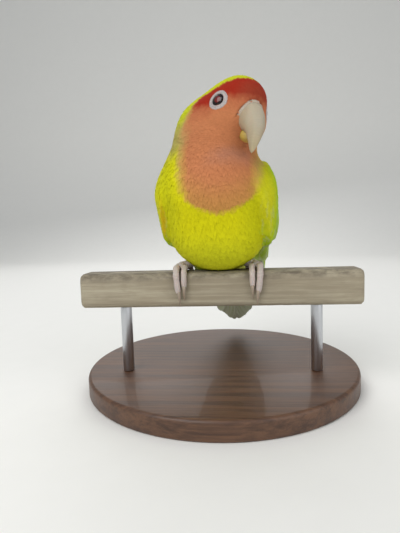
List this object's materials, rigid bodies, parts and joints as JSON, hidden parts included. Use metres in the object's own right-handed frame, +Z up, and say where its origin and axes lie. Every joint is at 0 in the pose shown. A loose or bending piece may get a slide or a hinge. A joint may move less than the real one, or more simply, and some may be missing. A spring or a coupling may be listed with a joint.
{
  "type": "perched lovebird model",
  "caption": "Life-size still model of a small stout parrot with its head turned, gripping a short square perch on a round display stand.",
  "frame": {"origin": "centre of the flat underside of the round base", "axes": "+Z up, the bird's breast faces -Y and its left side is +X, the perch runs along X"},
  "size_m": [0.124, 0.124, 0.1306],
  "materials": {
    "plumage_red": "orange-red forehead feathers",
    "plumage_peach": "peach throat and bib feathers",
    "plumage_yellow": "bright yellow body feathers",
    "plumage_wing": "yellow to yellow-green wing feathers",
    "plumage_tail": "pale yellow-green tail feathers",
    "bill_horn": "horn-coloured keratin, satin",
    "bare_skin": "pinkish grey scaled skin",
    "claw_horn": "grey-brown keratin",
    "eye": "dark brown, wet gloss",
    "perch_wood": "weathered pale wood, straight grain",
    "base_wood": "dark satin hardwood",
    "rod_steel": "brushed"
  },
  "bodies": {
    "root": {"head": "plumage_red", "neck": "plumage_peach", "torso": "plumage_yellow", "tail": "plumage_tail", "wing_left": "plumage_wing", "wing_right": "plumage_wing", "bill_upper": "bill_horn", "bill_lower": "bill_horn", "eye_left": "eye", "eye_right": "eye", "leg_left": "bare_skin", "toe_outer_front_left": "bare_skin", "toe_inner_front_left": "bare_skin", "toe_outer_back_left": "bare_skin", "toe_inner_back_left": "bare_skin", "claw_outer_front_left": "claw_horn", "claw_inner_front_left": "claw_horn", "claw_outer_back_left": "claw_horn", "claw_inner_back_left": "claw_horn", "leg_right": "bare_skin", "toe_outer_front_right": "bare_skin", "toe_inner_front_right": "bare_skin", "toe_outer_back_right": "bare_skin", "toe_inner_back_right": "bare_skin", "claw_outer_front_right": "claw_horn", "claw_inner_front_right": "claw_horn", "claw_outer_back_right": "claw_horn", "claw_inner_back_right": "claw_horn", "perch": "perch_wood", "stand_base": "base_wood", "stand_rod_left": "rod_steel", "stand_rod_right": "rod_steel"}
  },
  "joints": []
}
